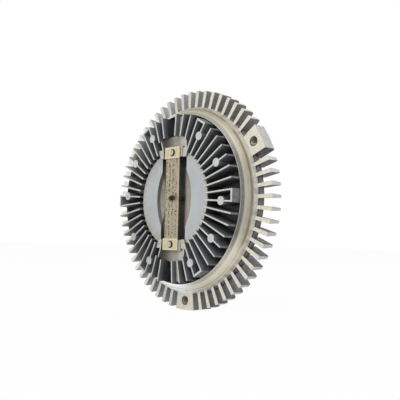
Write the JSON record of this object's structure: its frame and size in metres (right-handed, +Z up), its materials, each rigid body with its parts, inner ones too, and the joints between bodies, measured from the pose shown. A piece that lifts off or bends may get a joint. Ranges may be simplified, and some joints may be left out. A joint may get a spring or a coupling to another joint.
{
  "type": "viscous fan clutch",
  "caption": "Finned round fan clutch with a bimetal strip across its front cover, rim bosses that carry a fan, and a rear steel drive shaft in a ball bearing.",
  "frame": {"origin": "centre of the rear drive face, on the clutch axis", "axes": "+Y along the clutch axis to the rear, -Y to the finned front cover, +Z up along the bimetal strip"},
  "size_m": [0.2, 0.062, 0.2],
  "materials": {
    "cast_body": "die cast, fin fronts and bosses turned bright, flanks dark",
    "cast_cover": "die cast, smooth central disc, dark channels",
    "seal_rubber": "matte",
    "bimetal": "fine rolled, slightly yellowed by heat",
    "clip_plating": "yellow passivated zinc",
    "bright_steel": "turned",
    "spring_steel": "blackened",
    "sheet_steel": "rolled sheet",
    "rotor_casting": "turned",
    "bearing_steel": "ground"
  },
  "bodies": {
    "drive": {"drive_shaft": "bright_steel", "rotor_disc": "rotor_casting", "rotor_retaining_ring": "spring_steel", "bearing_inner_race": "bearing_steel"},
    "housing": {"body_housing": "cast_body", "front_cover": "cast_cover", "cover_seal_ring": "seal_rubber", "bimetal_strip": "bimetal", "upper_strip_clip": "clip_plating", "lower_strip_clip": "clip_plating", "control_pin_seal": "seal_rubber", "divider_plate": "sheet_steel", "divider_rivets": "bright_steel", "pump_wiper": "spring_steel", "valve_arm_rivet": "bright_steel", "bearing_outer_race": "bearing_steel", "bearing_front_shield": "sheet_steel", "bearing_rear_shield": "sheet_steel", "bearing_retaining_ring": "spring_steel"},
    "ball_set": {"bearing_balls": "bearing_steel", "bearing_cage": "sheet_steel"},
    "control_pin": {"control_pin": "bright_steel"},
    "valve_arm": {"valve_arm": "spring_steel"}
  },
  "joints": [
    {"name": "housing_spin", "type": "hinge", "parent": "drive", "child": "housing", "pos_m": [0, 0, 0], "axis": [0, 1, 0], "continuous": true},
    {"name": "ball_orbit", "type": "hinge", "parent": "drive", "child": "ball_set", "pos_m": [0, -0.0182, 0], "axis": [0, 1, 0], "continuous": true},
    {"name": "pin_slide", "type": "slide", "parent": "housing", "child": "control_pin", "axis": [0, -1, 0], "range_m": [0, 0.0012], "deforming": ["bimetal_strip"]},
    {"name": "valve_lift", "type": "hinge", "parent": "housing", "child": "valve_arm", "pos_m": [-0.028, -0.0421, 0], "axis": [0, 0, -1], "range_deg": [0, 2.46]}
  ],
  "couplings": [
    {"joint": "ball_orbit", "follows": "housing_spin", "ratio": 0.61791},
    {"joint": "valve_lift", "follows": "pin_slide", "rad_per_m": 35.714}
  ]
}
